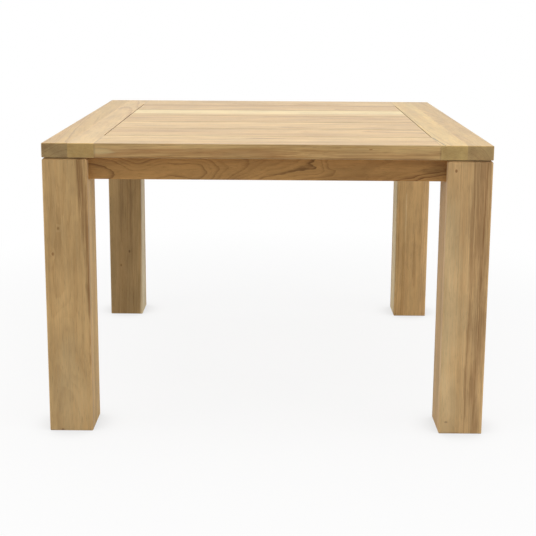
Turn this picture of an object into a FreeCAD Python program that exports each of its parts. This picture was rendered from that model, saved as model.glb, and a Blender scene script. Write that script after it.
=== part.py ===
import FreeCAD, Part
import os
import re

import Sketcher
from FreeCAD import Placement, Rotation, Vector

# A square garden table of solid teak. The origin is on the floor under the middle of the top.
# X runs to the right, Y away from the front edge and Z up, all in millimetres.

# Driving sizes. Counts and shares have no unit. Pins, rings and their holes have flats all round,
# and their diameters are measured across the corners.
SIZES = {
    # Overall
    "table_width": 1100,
    "table_depth": 1100,
    "table_height": 740,
    # Top: two side boards of two staves each, an end board at the front and back, slats between
    "top_thickness": 36,
    "side_board_width": 128,
    "end_board_width": 150,
    "slat_count": 5,
    "slat_gap": 2,
    "end_gap": 2.5,
    "edge_round": 2.5,
    "seam_round": 1.2,
    # Tongues on the ends of the slats, in a stopped groove of the side boards
    "tongue_length": 12,
    "tongue_thickness": 12,
    "tongue_shoulder": 12,
    "tongue_play": 0.4,
    # Dowels between the end boards and the side boards
    "dowel_count": 2,
    "dowel_diameter": 12,
    "dowel_length": 64,
    "dowel_spacing": 80,
    "dowel_play": 0.3,
    # Legs: a core with a facing on each of its two outer sides
    "leg_size": 110,
    "facing_thickness": 22,
    "leg_round": 4.5,
    "ear_gap": 2,
    "ear_bevel": 4,
    "foot_bevel": 2,
    # Aprons and the bearers under the slats
    "apron_height": 56,
    "apron_thickness": 28,
    "apron_round": 2,
    "bearer_width": 60,
    "bearer_height": 40,
    "bearer_spacing_share": 0.38,
    "tenon_length": 14,
    "tenon_thickness": 12,
    "tenon_shoulder": 9,
    "tenon_play": 0.3,
    # Corner blocks
    "block_setback": 2,
    "block_round": 4,
    # Leg bolts, their washers and the threaded inserts in the ears
    "bolt_diameter": 8,
    "bolt_play": 0.5,
    "bolt_head_diameter": 15,
    "bolt_head_height": 5.5,
    "bolt_end_gap": 1,
    "end_bolt_share": 0.71,
    "side_bolt_share": 0.29,
    "washer_diameter": 20,
    "washer_thickness": 1.6,
    "insert_diameter": 12,
    "insert_length": 14,
    "thread_play": 0.25,
    # Screws up into the top
    "apron_screw_count": 3,
    "screw_spacing_share": 0.35,
    "screw_diameter": 5,
    "screw_head_diameter": 10,
    "screw_head_height": 3,
    "screw_grip": 24,
    "screw_bite": 24,
    "screw_play": 0.3,
    "counterbore_play": 1,
    # How far a cut that goes right through runs past the far face
    "overrun": 5,
}

# Sizes that follow from the driving ones.
DERIVED = {
    "top_underside": "table_height - top_thickness",
    "apron_bottom": "top_underside - apron_height",
    "stave_width": "side_board_width / 2",
    "panel_width": "table_width - 2 * side_board_width",
    "slat_zone": "table_depth - 2 * end_board_width",
    "slat_width": "(slat_zone - (slat_count + 1) * slat_gap) / slat_count",
    "slat_pitch": "slat_width + slat_gap",
    "slat_length": "panel_width - 2 * end_gap",
    "core_size": "leg_size - facing_thickness",
    "facing_height": "top_underside - ear_gap",
    "bearer_spacing": "panel_width * bearer_spacing_share",
    "apron_inset": "facing_thickness + apron_thickness / 2",
    "end_apron_length": "table_width - 2 * facing_thickness",
    "frame_depth": "table_depth - 2 * (facing_thickness + apron_thickness)",
    "tenon_height": "apron_height - 2 * tenon_shoulder",
    "bearer_tenon_width": "bearer_width - 2 * tenon_shoulder",
    "bearer_tenon_height": "bearer_height - 2 * tenon_shoulder",
    "mortise_depth": "tenon_length + tenon_play",
    "block_size": "core_size - apron_thickness - block_setback",
    "block_inset": "leg_size - block_setback",
    "bolt_inset": "block_inset - block_size / 2",
    "bolt_hole": "bolt_diameter + 2 * bolt_play",
    "bolt_length": "washer_thickness + block_size + apron_thickness + insert_length - bolt_end_gap",
    "end_bolt_height": "apron_height * end_bolt_share",
    "side_bolt_height": "apron_height * side_bolt_share",
    "insert_hole": "insert_diameter + 2 * thread_play",
    "dowel_hole": "dowel_diameter + 2 * dowel_play",
    "dowel_depth": "dowel_length / 2 + dowel_play",
    "screw_hole": "screw_diameter + 2 * screw_play",
    "screw_depth": "screw_bite + screw_play",
    "counterbore": "screw_head_diameter + 2 * counterbore_play",
    "end_screw_spacing": "panel_width * screw_spacing_share",
    "end_row_start": "-(apron_screw_count - 1) / 2 * end_screw_spacing",
    "side_screw_spacing": "frame_depth * screw_spacing_share",
    "side_row_start": "-(apron_screw_count - 1) / 2 * side_screw_spacing",
    "slat_row_start": "-(slat_count - 1) / 2 * slat_pitch",
    "dowel_row_start": "-(dowel_count - 1) / 2 * dowel_spacing",
}

# The two ends and the two sides of the table, each with its direction along Y or X.
ENDS = {"front": -1, "back": 1}
SIDES = {"left": -1, "right": 1}

# Which axes of a body run along a sketch's own x, y and normal, for each origin plane.
PLANE_AXES = {
    "XY_Plane": ("x", "y", "z"),
    "XZ_Plane": ("x", "z", "-y"),
    "YZ_Plane": ("y", "z", "x"),
}

# Sketches are drawn at this size, and their bound dimensions then scale them.
UNIT = 1

# The flats round a bolt's head, and round every other pin, ring or hole.
HEAD_SIDES = 6
PIN_SIDES = 8
FULL_TURN = 360

# How near an edge has to lie to a face of a box, as a share of the box's diagonal.
match_share = 1e-6

doc = FreeCAD.newDocument("garden_table")
dims = doc.addObject("Spreadsheet::Sheet", "dims")
for row, (name, value) in enumerate(SIZES.items(), start=1):
    dims.set(f"A{row}", name)
    dims.set(f"B{row}", str(value))
    dims.setAlias(f"B{row}", name)
doc.recompute()

pieces = []


def formula(text):
    """The expression for a formula that is written in the names of driving and derived sizes."""

    def spell_out(match):
        name = match.group(0)
        if name in DERIVED:
            return f"({formula(DERIVED[name])})"
        return f"dims.{name}"

    return re.sub(r"[a-z_]+", spell_out, text)


def bind(thing, path, text):
    thing.setExpression(path, formula(text))


def facing_name(axis, direction):
    """The name of a box's face, such as +x, from its axis and direction."""
    return f"{'+' if direction > 0 else '-'}{axis}"


def origin_feature(body, role):
    return next(f for f in body.Origin.OriginFeatures if f.Role == role)


def new_piece(label, at=("0", "0", "0"), turn=0):
    """An empty body that stands at three formulas, turned about the vertical by degrees."""
    body = doc.addObject("PartDesign::Body", label)
    body.Label = label
    body.Placement = Placement(Vector(), Rotation(Vector(0, 0, 1), turn))
    for axis, text in zip("xyz", at):
        bind(body, f"Placement.Base.{axis}", text)
    pieces.append(body)
    return body


def sketch_on(body, plane, name, at=("0", "0", "0")):
    """A sketch parallel to an origin plane, with its own origin at three formulas in the body's axes."""
    sketch = body.newObject("Sketcher::SketchObject", name)
    sketch.AttachmentSupport = (origin_feature(body, plane), [""])
    sketch.MapMode = "FlatFace"
    place = dict(zip("xyz", at))
    for own_axis, axis in zip("xyz", PLANE_AXES[plane]):
        text = place[axis[-1]]
        if axis.startswith("-"):
            text = f"-({text})"
        bind(sketch, f"AttachmentOffset.Base.{own_axis}", text)
    return sketch


def dimension(sketch, name, text, kind, *where):
    """A named dimension of a sketch, bound to a formula."""
    index = sketch.addConstraint(Sketcher.Constraint(kind, *where, 2 * UNIT))
    sketch.renameConstraint(index, name)
    bind(sketch, f"Constraints.{name}", text)


def closed_outline(sketch, corners):
    """Straight lines from corner to corner and back to the first."""
    ends = corners[1:] + corners[:1]
    sides = [sketch.addGeometry(Part.LineSegment(*line)) for line in zip(corners, ends)]
    for side, following in zip(sides, sides[1:] + sides[:1]):
        sketch.addConstraint(Sketcher.Constraint("Coincident", side, 2, following, 1))


def rectangle(sketch, length, width):
    """A rectangle centred on the sketch's origin."""
    signs = [(-1, -1), (1, -1), (1, 1), (-1, 1)]
    closed_outline(sketch, [Vector(x * UNIT, y * UNIT) for x, y in signs])
    for bottom, side in ((0, 1), (2, 3)):
        sketch.addConstraint(Sketcher.Constraint("Horizontal", bottom))
        sketch.addConstraint(Sketcher.Constraint("Vertical", side))
    sketch.addConstraint(Sketcher.Constraint("Symmetric", 0, 1, 2, 1, -1, 1))
    dimension(sketch, "length", length, "DistanceX", 0, 1, 0, 2)
    dimension(sketch, "width", width, "DistanceY", 1, 1, 1, 2)


def polygon(sketch, diameter, sides=PIN_SIDES, name="diameter"):
    """A regular outline round the sketch's origin, with its corners on a construction circle."""
    turns = [Rotation(Vector(0, 0, 1), FULL_TURN * number / sides) for number in range(sides)]
    first = sketch.GeometryCount
    closed_outline(sketch, [turn.multVec(Vector(UNIT, 0, 0)) for turn in turns])
    corner_circle = sketch.addGeometry(Part.Circle(Vector(), Vector(0, 0, 1), UNIT), True)
    sketch.addConstraint(Sketcher.Constraint("Coincident", corner_circle, 3, -1, 1))
    dimension(sketch, name, diameter, "Diameter", corner_circle)
    for side in range(first, first + sides):
        sketch.addConstraint(Sketcher.Constraint("PointOnObject", side, 1, corner_circle))
    for side in range(first + 1, first + sides):
        sketch.addConstraint(Sketcher.Constraint("Equal", first, side))
    sketch.addConstraint(Sketcher.Constraint("PointOnObject", first, 1, -1))


def extrude(kind, body, sketch, length, flip):
    feature = body.newObject(f"PartDesign::{kind}", f"{sketch.Label}_{kind.lower()}")
    feature.Profile = sketch
    feature.Reversed = flip
    bind(feature, "Length", length)
    return feature


def pad(body, sketch, length, flip=False):
    """Raises a sketch along its normal, or against it."""
    return extrude("Pad", body, sketch, length, flip)


def pocket(body, sketch, depth, flip=False):
    """Cuts a sketch into the body against its normal, or along it."""
    doc.recompute()
    whole = body.Shape.Volume
    feature = extrude("Pocket", body, sketch, depth, flip)
    doc.recompute()
    if not body.Shape.Volume < whole:
        raise ValueError(f"{body.Label}: {sketch.Label} cuts nothing")
    return feature


def bore(body, plane, at, diameter, depth, flip=False):
    """A hole for a pin, square to a plane, that starts at three formulas."""
    mark = sketch_on(body, plane, "bore", at)
    polygon(mark, diameter)
    return pocket(body, mark, depth, flip)


def mortise(body, plane, at, length, width, depth, flip=False):
    """A rectangular recess, square to a plane, that starts at three formulas."""
    mark = sketch_on(body, plane, "mortise", at)
    rectangle(mark, length, width)
    return pocket(body, mark, depth, flip)


def rod(body, plane, at, diameter, length, flip=False):
    """A pin, square to a plane, that starts at three formulas."""
    section = sketch_on(body, plane, "rod", at)
    polygon(section, diameter)
    return pad(body, section, length, flip)


def ring(body, plane, at, outer, inner, length, flip=False):
    """A pin with a hole along its axis."""
    section = sketch_on(body, plane, "ring", at)
    polygon(section, outer, name="outer")
    polygon(section, inner, name="inner")
    return pad(body, section, length, flip)


def repeat(body, features, rows=(), mirrors=()):
    """Repeats features in rows, each an axis with a count and a spacing, and in mirror planes."""
    group = body.newObject("PartDesign::MultiTransform", "repeat")
    group.Originals = features
    steps = []
    for axis, count, spacing in rows:
        step = body.newObject("PartDesign::LinearPattern", "row")
        step.Direction = (origin_feature(body, axis), [""])
        bind(step, "Occurrences", count)
        bind(step, "Length", f"({count} - 1) * {spacing}")
        steps.append(step)
    for plane in mirrors:
        step = body.newObject("PartDesign::Mirrored", "mirror")
        step.MirrorPlane = (origin_feature(body, plane), [""])
        steps.append(step)
    group.Transformations = steps
    body.Tip = group


def lies_on(edge, box, faces):
    """Whether an edge lies on all the faces of a box that a text such as +x-z names."""
    reach = box.DiagonalLength * match_share
    for direction, axis in re.findall(r"([+-])([xyz])", faces):
        limit = getattr(box, f"{axis.upper()}{'Max' if direction == '+' else 'Min'}")
        if any(abs(getattr(end.Point, axis) - limit) > reach for end in edge.Vertexes):
            return False
    return True


def ease_edges(body, kind, measure, size, edges):
    """Eases edges of the body's box, each named by the two faces that meet there, such as +x-z."""
    doc.recompute()
    base = body.Tip
    box = base.Shape.BoundBox
    names = []
    for number, edge in enumerate(base.Shape.Edges, start=1):
        if any(lies_on(edge, box, faces) for faces in edges):
            names.append(f"Edge{number}")
    feature = body.newObject(f"PartDesign::{kind}", kind.lower())
    feature.Base = (base, names)
    bind(feature, measure, size)


def round_edges(body, radius, *edges):
    ease_edges(body, "Fillet", "Radius", radius, edges)


def bevel_edges(body, size, *edges):
    ease_edges(body, "Chamfer", "Size", size, edges)


def board(label, size, at, turn=0):
    """A piece that starts as a square-edged board, standing on its own origin and centred on it."""
    body = new_piece(label, at, turn)
    length, width, height = size
    outline = sketch_on(body, "XY_Plane", "outline")
    rectangle(outline, length, width)
    pad(body, outline, height)
    return body


def tenons(body, length, width, height, rise):
    """A core through a board that stands out of both ends, at a rise above its underside."""
    section = sketch_on(body, "XY_Plane", "tenons", ("0", "0", rise))
    rectangle(section, length, width)
    pad(body, section, height)


def screw_bores(body, start, thickness, count, spacing):
    """A row of counterbored screw holes, up through a rail along its own X."""
    at = (start, "0", "0")
    clear = bore(body, "XY_Plane", at, "screw_hole", f"{thickness} + overrun", flip=True)
    sunk = bore(body, "XY_Plane", at, "counterbore", f"{thickness} - screw_grip", flip=True)
    repeat(body, [clear, sunk], rows=[("X_Axis", count, spacing)])


def side_board(side, direction):
    """Two staves, glued edge to edge, that run over the full depth of the table."""
    size = ("stave_width", "table_depth", "top_thickness")
    out_face = facing_name("x", direction)
    across = ("+y+z", "+y-z", "-y+z", "-y-z")

    outer_x = f"{direction} * (table_width - stave_width) / 2"
    outer = board(f"{side}_outer_stave", size, (outer_x, "0", "top_underside"))
    along = [out_face + other for other in ("+z", "-z", "+y", "-y")]
    round_edges(outer, "edge_round", *along, *across)
    screw_at = (f"{direction} * (stave_width / 2 - apron_inset)", "side_row_start", "0")
    screw = bore(outer, "XY_Plane", screw_at, "screw_hole", "screw_depth", flip=True)
    repeat(outer, [screw], rows=[("Y_Axis", "apron_screw_count", "side_screw_spacing")])

    inner_x = f"{direction} * (table_width / 2 - side_board_width + stave_width / 2)"
    inner = board(f"{side}_inner_stave", size, (inner_x, "0", "top_underside"))
    round_edges(inner, "edge_round", *across)
    joint_x = f"{-direction} * stave_width / 2"
    inwards = direction > 0
    groove_width = "tongue_thickness + 2 * tongue_play"
    groove_depth = "tongue_length + tongue_play"
    groove_at = (joint_x, "0", "top_thickness / 2")
    mortise(inner, "YZ_Plane", groove_at, "slat_zone", groove_width, groove_depth, flip=inwards)
    dowel_y = "dowel_row_start - (table_depth - end_board_width) / 2"
    dowel_at = (joint_x, dowel_y, "top_thickness / 2")
    dowel = bore(inner, "YZ_Plane", dowel_at, "dowel_hole", "dowel_depth", flip=inwards)
    dowel_row = ("Y_Axis", "dowel_count", "dowel_spacing")
    repeat(inner, [dowel], rows=[dowel_row], mirrors=["XZ_Plane"])


def end_board(end, direction):
    """The board across the front or back, closed against the side boards and dowelled to them."""
    size = ("panel_width", "end_board_width", "top_thickness")
    board_y = f"{direction} * (table_depth - end_board_width) / 2"
    piece = board(f"{end}_board", size, ("0", board_y, "top_underside"))
    out_face = facing_name("y", direction)
    in_face = facing_name("y", -direction)
    round_edges(piece, "edge_round", out_face + "+z", out_face + "-z")
    round_edges(piece, "seam_round", in_face + "+z")
    dowel_at = ("panel_width / 2", "dowel_row_start", "top_thickness / 2")
    dowel = bore(piece, "YZ_Plane", dowel_at, "dowel_hole", "dowel_depth")
    dowel_row = ("Y_Axis", "dowel_count", "dowel_spacing")
    repeat(piece, [dowel], rows=[dowel_row], mirrors=["YZ_Plane"])
    screw_at = ("end_row_start", f"{direction} * (end_board_width / 2 - apron_inset)", "0")
    screw = bore(piece, "XY_Plane", screw_at, "screw_hole", "screw_depth", flip=True)
    repeat(piece, [screw], rows=[("X_Axis", "apron_screw_count", "end_screw_spacing")])


def slat(number):
    """A slat with eased upper edges and a tongue at each end, screwed down to both bearers."""
    size = ("slat_length", "slat_width", "top_thickness")
    slat_y = f"slat_row_start + {number} * slat_pitch"
    piece = board(f"slat_{number + 1}", size, ("0", slat_y, "top_underside"))
    round_edges(piece, "seam_round", "+x+z", "-x+z", "+y+z", "-y+z")
    tongue_width = "slat_width - 2 * tongue_shoulder"
    tongue_rise = "(top_thickness - tongue_thickness) / 2"
    tongue_span = "panel_width + 2 * tongue_length"
    tenons(piece, tongue_span, tongue_width, "tongue_thickness", tongue_rise)
    screw_at = ("bearer_spacing / 2", "0", "0")
    screw = bore(piece, "XY_Plane", screw_at, "screw_hole", "screw_depth", flip=True)
    repeat(piece, [screw], mirrors=["YZ_Plane"])


def bolt_bore(apron, half_span, height):
    """A bolt hole near each end of an apron."""
    at = (f"{half_span} - bolt_inset", "apron_thickness / 2", height)
    hole = bore(apron, "XZ_Plane", at, "bolt_hole", "apron_thickness + overrun", flip=True)
    repeat(apron, [hole], mirrors=["YZ_Plane"])


def end_apron(end, direction):
    """The front or back apron, which runs behind the ears and takes the other rails in mortises."""
    size = ("end_apron_length", "apron_thickness", "apron_height")
    apron_y = f"{direction} * (table_depth / 2 - apron_inset)"
    turn = 0 if direction < 0 else 180
    piece = board(f"{end}_apron", size, ("0", apron_y, "apron_bottom"), turn)
    round_edges(piece, "apron_round", "-y-z", "+y-z")

    def tenon_mortise(x, z, width, height):
        at = (x, "apron_thickness / 2", z)
        length, rise = f"{width} + 2 * tenon_play", f"{height} + 2 * tenon_play"
        recess = mortise(piece, "XZ_Plane", at, length, rise, "mortise_depth", flip=True)
        repeat(piece, [recess], mirrors=["YZ_Plane"])

    side_x = "(end_apron_length - apron_thickness) / 2"
    tenon_mortise(side_x, "apron_height / 2", "tenon_thickness", "tenon_height")
    bearer_z = "apron_height - bearer_height / 2"
    tenon_mortise("bearer_spacing / 2", bearer_z, "bearer_tenon_width", "bearer_tenon_height")
    bolt_bore(piece, "table_width / 2", "end_bolt_height")
    row = ("apron_screw_count", "end_screw_spacing")
    screw_bores(piece, "end_row_start", "apron_height", *row)


def side_apron(side, direction):
    """The left or right apron, tenoned between the front and back aprons."""
    size = ("frame_depth", "apron_thickness", "apron_height")
    apron_x = f"{direction} * (table_width / 2 - apron_inset)"
    piece = board(f"{side}_apron", size, (apron_x, "0", "apron_bottom"), 90 * direction)
    round_edges(piece, "apron_round", "-y-z", "+y-z")
    span = "frame_depth + 2 * tenon_length"
    tenons(piece, span, "tenon_thickness", "tenon_height", "tenon_shoulder")
    bolt_bore(piece, "table_depth / 2", "side_bolt_height")
    row = ("apron_screw_count", "side_screw_spacing")
    screw_bores(piece, "side_row_start", "apron_height", *row)


def bearer(side, direction):
    """A rail under the slats, tenoned into the front and back aprons."""
    size = ("frame_depth", "bearer_width", "bearer_height")
    at = (f"{direction} * bearer_spacing / 2", "0", "top_underside - bearer_height")
    piece = board(f"{side}_bearer", size, at, 90)
    round_edges(piece, "apron_round", "-y-z", "+y-z")
    span = "frame_depth + 2 * tenon_length"
    tenons(piece, span, "bearer_tenon_width", "bearer_tenon_height", "tenon_shoulder")
    screw_bores(piece, "slat_row_start", "bearer_height", "slat_count", "slat_pitch")


def corner_block(end, end_direction, side, side_direction):
    """The block inside a corner of the apron frame, which stands on the leg's core."""
    size = ("block_size", "block_size", "apron_height")
    block_x = f"{side_direction} * (table_width / 2 - bolt_inset)"
    block_y = f"{end_direction} * (table_depth / 2 - bolt_inset)"
    piece = board(f"{end}_{side}_corner_block", size, (block_x, block_y, "apron_bottom"))
    inner_edge = facing_name("x", -side_direction) + facing_name("y", -end_direction)
    round_edges(piece, "block_round", inner_edge)
    through = "block_size + overrun"
    end_at = ("0", "-block_size / 2", "end_bolt_height")
    bore(piece, "XZ_Plane", end_at, "bolt_hole", through)
    side_at = ("block_size / 2", "0", "side_bolt_height")
    bore(piece, "YZ_Plane", side_at, "bolt_hole", through)


def leg(end, end_direction, side, side_direction):
    """A core that carries the aprons, and two facings that rise past it as the ears of the leg."""
    out_x, in_x = facing_name("x", side_direction), facing_name("x", -side_direction)
    out_y, in_y = facing_name("y", end_direction), facing_name("y", -end_direction)
    name = f"{end}_{side}_leg"

    core_x = f"{side_direction} * (table_width / 2 - facing_thickness - core_size / 2)"
    core_y = f"{end_direction} * (table_depth / 2 - facing_thickness - core_size / 2)"
    core = board(f"{name}_core", ("core_size", "core_size", "apron_bottom"), (core_x, core_y, "0"))
    bevel_edges(core, "foot_bevel", in_x + "-z", in_y + "-z")
    round_edges(core, "leg_round", in_x + "+z", in_y + "+z", in_x + in_y)

    end_x = f"{side_direction} * (table_width - leg_size) / 2"
    end_y = f"{end_direction} * (table_depth - facing_thickness) / 2"
    end_size = ("leg_size", "facing_thickness", "facing_height")
    end_facing = board(f"{name}_{end}_facing", end_size, (end_x, end_y, "0"))
    bevel_edges(end_facing, "ear_bevel", out_y + "+z", out_x + "+z", in_x + "+z")
    bevel_edges(end_facing, "foot_bevel", out_y + "-z", out_x + "-z", in_x + "-z")
    round_edges(end_facing, "leg_round", out_x + out_y, in_x + out_y)
    insert_x = f"{side_direction} * (leg_size / 2 - bolt_inset)"
    insert_y = f"{-end_direction} * facing_thickness / 2"
    insert_at = (insert_x, insert_y, "apron_bottom + end_bolt_height")
    outwards = end_direction < 0
    depth = "insert_length + thread_play"
    bore(end_facing, "XZ_Plane", insert_at, "insert_hole", depth, flip=outwards)

    side_x = f"{side_direction} * (table_width - facing_thickness) / 2"
    side_size = ("facing_thickness", "core_size", "facing_height")
    side_facing = board(f"{name}_side_facing", side_size, (side_x, core_y, "0"))
    bevel_edges(side_facing, "ear_bevel", out_x + "+z", in_y + "+z")
    bevel_edges(side_facing, "foot_bevel", out_x + "-z", in_y + "-z")
    round_edges(side_facing, "leg_round", out_x + in_y)
    insert_x = f"{-side_direction} * facing_thickness / 2"
    insert_y = f"{end_direction} * (facing_thickness + core_size / 2 - bolt_inset)"
    insert_at = (insert_x, insert_y, "apron_bottom + side_bolt_height")
    outwards = side_direction > 0
    bore(side_facing, "YZ_Plane", insert_at, "insert_hole", depth, flip=outwards)


def bolt_axes(end_inset, side_inset):
    """Points on the axes of the front right leg's two bolts, at insets from the front and the right."""
    right_x, front_y = "table_width / 2 - bolt_inset", "-(table_depth / 2 - bolt_inset)"
    on_end = (right_x, f"-(table_depth / 2 - ({end_inset}))", "apron_bottom + end_bolt_height")
    on_side = (f"table_width / 2 - ({side_inset})", front_y, "apron_bottom + side_bolt_height")
    return (("XZ_Plane", on_end), ("YZ_Plane", on_side))


def leg_bolts():
    """Two hexagon bolts for each leg, from inside the corner block out into the ears."""
    bolts = new_piece("leg_bolts")
    features = []
    seat = "block_inset + washer_thickness"
    for plane, at in bolt_axes(seat, seat):
        features.append(rod(bolts, plane, at, "bolt_diameter", "bolt_length"))
        head = sketch_on(bolts, plane, "head", at)
        polygon(head, "bolt_head_diameter", HEAD_SIDES)
        features.append(pad(bolts, head, "bolt_head_height", flip=True))
    repeat(bolts, features, mirrors=["YZ_Plane", "XZ_Plane"])


def bolt_washers():
    """A washer between each bolt head and its corner block."""
    washers = new_piece("bolt_washers")
    features = []
    for plane, at in bolt_axes("block_inset", "block_inset"):
        shape = ("washer_diameter", "bolt_hole", "washer_thickness")
        features.append(ring(washers, plane, at, *shape, flip=True))
    repeat(washers, features, mirrors=["YZ_Plane", "XZ_Plane"])


def threaded_inserts():
    """A threaded sleeve in the ear for each bolt."""
    inserts = new_piece("threaded_inserts")
    features = []
    for plane, at in bolt_axes("facing_thickness", "facing_thickness"):
        shape = ("insert_diameter", "bolt_diameter + 2 * thread_play", "insert_length")
        features.append(ring(inserts, plane, at, *shape))
    repeat(inserts, features, mirrors=["YZ_Plane", "XZ_Plane"])


def board_dowels():
    """Dowels across the joints between the end boards and the side boards."""
    dowels = new_piece("board_dowels")
    dowel_x = "(panel_width - dowel_length) / 2"
    dowel_y = "dowel_row_start - (table_depth - end_board_width) / 2"
    at = (dowel_x, dowel_y, "top_underside + top_thickness / 2")
    dowel = rod(dowels, "YZ_Plane", at, "dowel_diameter", "dowel_length")
    dowel_row = ("Y_Axis", "dowel_count", "dowel_spacing")
    repeat(dowels, [dowel], rows=[dowel_row], mirrors=["YZ_Plane", "XZ_Plane"])


def screw(body, x, y):
    """One screw, with its head pulled up against the floor of its counterbore."""
    seat = (x, y, "top_underside - screw_grip")
    shank = rod(body, "XY_Plane", seat, "screw_diameter", "screw_grip + screw_bite")
    head = rod(body, "XY_Plane", seat, "screw_head_diameter", "screw_head_height", flip=True)
    return [shank, head]


def apron_screws():
    """Screws up through the four aprons into the boards of the top."""
    screws = new_piece("apron_screws")
    at_end = screw(screws, "end_row_start", "-(table_depth / 2 - apron_inset)")
    end_row = ("X_Axis", "apron_screw_count", "end_screw_spacing")
    repeat(screws, at_end, rows=[end_row], mirrors=["XZ_Plane"])
    at_side = screw(screws, "table_width / 2 - apron_inset", "side_row_start")
    side_row = ("Y_Axis", "apron_screw_count", "side_screw_spacing")
    repeat(screws, at_side, rows=[side_row], mirrors=["YZ_Plane"])


def bearer_screws():
    """A screw up through each bearer into each slat."""
    screws = new_piece("bearer_screws")
    first = screw(screws, "bearer_spacing / 2", "slat_row_start")
    row = ("Y_Axis", "slat_count", "slat_pitch")
    repeat(screws, first, rows=[row], mirrors=["YZ_Plane"])


def check(thing):
    """Stops the build if an object of the document has failed."""
    if "Invalid" in thing.State or "Error" in thing.State:
        raise RuntimeError(f"{thing.Label} failed: {thing.State}")


for side, side_direction in SIDES.items():
    side_board(side, side_direction)
    side_apron(side, side_direction)
    bearer(side, side_direction)

for end, end_direction in ENDS.items():
    end_board(end, end_direction)
    end_apron(end, end_direction)
    for side, side_direction in SIDES.items():
        corner_block(end, end_direction, side, side_direction)
        leg(end, end_direction, side, side_direction)

for number in range(int(dims.slat_count)):
    slat(number)

leg_bolts()
bolt_washers()
threaded_inserts()
board_dowels()
apron_screws()
bearer_screws()

doc.recompute()
for thing in doc.Objects:
    check(thing)
for piece in pieces:
    if piece.Shape.isNull() or not piece.Shape.isValid():
        raise RuntimeError(f"{piece.Label} has no valid shape")

os.makedirs("parts", exist_ok=True)
for piece in pieces:
    piece.Shape.exportStep(f"parts/{piece.Label}.step")
    print(piece.Label, len(piece.Shape.Solids), "solids", round(piece.Shape.Volume))
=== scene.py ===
import math

import bmesh
import bpy
from mathutils import Euler, Matrix, Vector


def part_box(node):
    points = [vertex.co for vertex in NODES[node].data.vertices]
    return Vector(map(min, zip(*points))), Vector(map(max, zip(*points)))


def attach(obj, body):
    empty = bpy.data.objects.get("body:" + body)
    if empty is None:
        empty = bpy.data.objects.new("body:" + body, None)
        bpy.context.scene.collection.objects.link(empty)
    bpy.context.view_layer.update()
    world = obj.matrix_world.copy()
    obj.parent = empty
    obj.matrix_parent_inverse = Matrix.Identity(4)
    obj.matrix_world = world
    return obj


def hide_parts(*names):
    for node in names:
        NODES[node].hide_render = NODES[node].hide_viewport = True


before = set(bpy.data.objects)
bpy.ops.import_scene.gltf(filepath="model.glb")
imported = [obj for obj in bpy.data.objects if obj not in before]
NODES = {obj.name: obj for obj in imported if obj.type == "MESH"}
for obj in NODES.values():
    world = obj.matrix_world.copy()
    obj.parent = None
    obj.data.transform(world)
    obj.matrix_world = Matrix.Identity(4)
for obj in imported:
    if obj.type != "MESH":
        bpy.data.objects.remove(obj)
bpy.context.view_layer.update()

scene = bpy.context.scene

# A square teak garden table in a plain studio. Lengths are in metres.

MM = 0.001


def tint(code):
    """A colour written as six hex digits, as the linear values that a socket takes."""
    levels = [int(code[place:place + 2], 16) / 255 for place in (0, 2, 4)]
    linear = [v / 12.92 if v <= 0.04045 else ((v + 0.055) / 1.055) ** 2.4 for v in levels]
    return (*linear, 1.0)


class Bench:
    """Adds nodes to a tree and wires them together."""

    def __init__(self, tree):
        self.tree = tree

    def add(self, kind, **settings):
        node = self.tree.nodes.new(kind)
        for name, value in settings.items():
            setattr(node, name, value)
        return node

    def put(self, socket, value):
        if isinstance(value, bpy.types.NodeSocket):
            self.tree.links.new(value, socket)
        else:
            socket.default_value = value

    def fill(self, node, **values):
        """Sets or wires inputs by name, with _ in place of a space."""
        for name, value in values.items():
            self.put(node.inputs[name.replace("_", " ")], value)
        return node

    def math(self, operation, *values, clamp=False):
        node = self.add("ShaderNodeMath", operation=operation, use_clamp=clamp)
        for socket, value in zip(node.inputs, values):
            self.put(socket, value)
        return node.outputs[0]

    def vector(self, operation, *values):
        node = self.add("ShaderNodeVectorMath", operation=operation)
        for socket, value in zip(node.inputs, values):
            self.put(socket, value)
        scalar = operation in ("LENGTH", "DOT_PRODUCT", "DISTANCE")
        return node.outputs["Value" if scalar else "Vector"]

    def scaled(self, vector, share):
        node = self.add("ShaderNodeVectorMath", operation="SCALE")
        self.put(node.inputs[0], vector)
        self.put(node.inputs["Scale"], share)
        return node.outputs["Vector"]

    def split(self, vector):
        node = self.add("ShaderNodeSeparateXYZ")
        self.put(node.inputs[0], vector)
        return node.outputs

    def join(self, x=0.0, y=0.0, z=0.0):
        node = self.add("ShaderNodeCombineXYZ")
        for socket, value in zip(node.inputs, (x, y, z)):
            self.put(socket, value)
        return node.outputs[0]

    def noise(self, place, seed, detail=2.0, roughness=0.5):
        node = self.add("ShaderNodeTexNoise", noise_dimensions="4D")
        self.fill(node, Vector=place, W=seed, Scale=1.0, Detail=detail, Roughness=roughness)
        return node.outputs

    def span(self, value, low, high, to_low=0.0, to_high=1.0):
        """Eases a value from one range to another, held at both ends."""
        node = self.add("ShaderNodeMapRange", interpolation_type="SMOOTHSTEP")
        self.fill(node, Value=value, From_Min=low, From_Max=high, To_Min=to_low, To_Max=to_high)
        return node.outputs[0]

    def mix(self, share, first, second):
        node = self.add("ShaderNodeMix", data_type="RGBA")
        for number, value in ((0, share), (6, first), (7, second)):
            self.put(node.inputs[number], value)
        return node.outputs[2]

    def group(self, tree, **values):
        node = self.add("ShaderNodeGroup", node_tree=tree)
        return self.fill(node, **values).outputs

    def show(self, shader, kind="Material"):
        output = self.add(f"ShaderNodeOutput{kind}")
        self.put(output.inputs["Surface"], shader.outputs[0])


def blank_material(name):
    """A material without nodes, and the bench for its tree."""
    material = bpy.data.materials.new(name)
    material.use_nodes = True
    material.node_tree.nodes.clear()
    return material, Bench(material.node_tree)


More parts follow.
